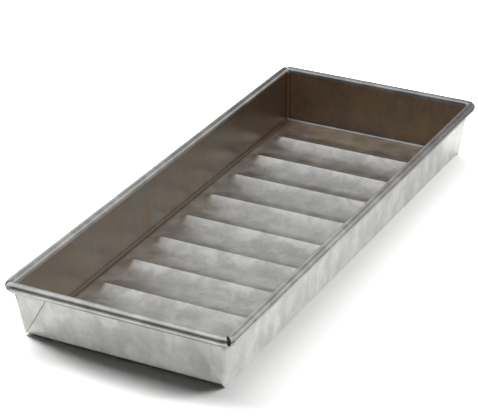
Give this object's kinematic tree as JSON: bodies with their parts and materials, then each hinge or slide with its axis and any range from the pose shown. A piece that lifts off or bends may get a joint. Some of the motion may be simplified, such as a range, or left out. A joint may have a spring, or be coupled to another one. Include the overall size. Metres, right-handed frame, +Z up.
{
  "type": "hot dog bun pan",
  "caption": "Long low rectangular baking pan with a ridged floor that shapes and divides a row of rolls, folded corners and a rolled, wire-stiffened rim.",
  "frame": {"origin": "under the middle of the pan, on the surface it stands on", "axes": "+X along the pan's long sides, +Y across the pan along the floor's ridges, +Z up out of the open top"},
  "size_m": [0.381, 0.1524, 0.0385],
  "materials": {
    "sheet": "dull aluminised steel sheet, faintly mottled and rubbed",
    "wire": "plain drawn steel wire"
  },
  "bodies": {
    "root": {"pan_body": "sheet", "rim_wire": "wire"}
  },
  "joints": []
}
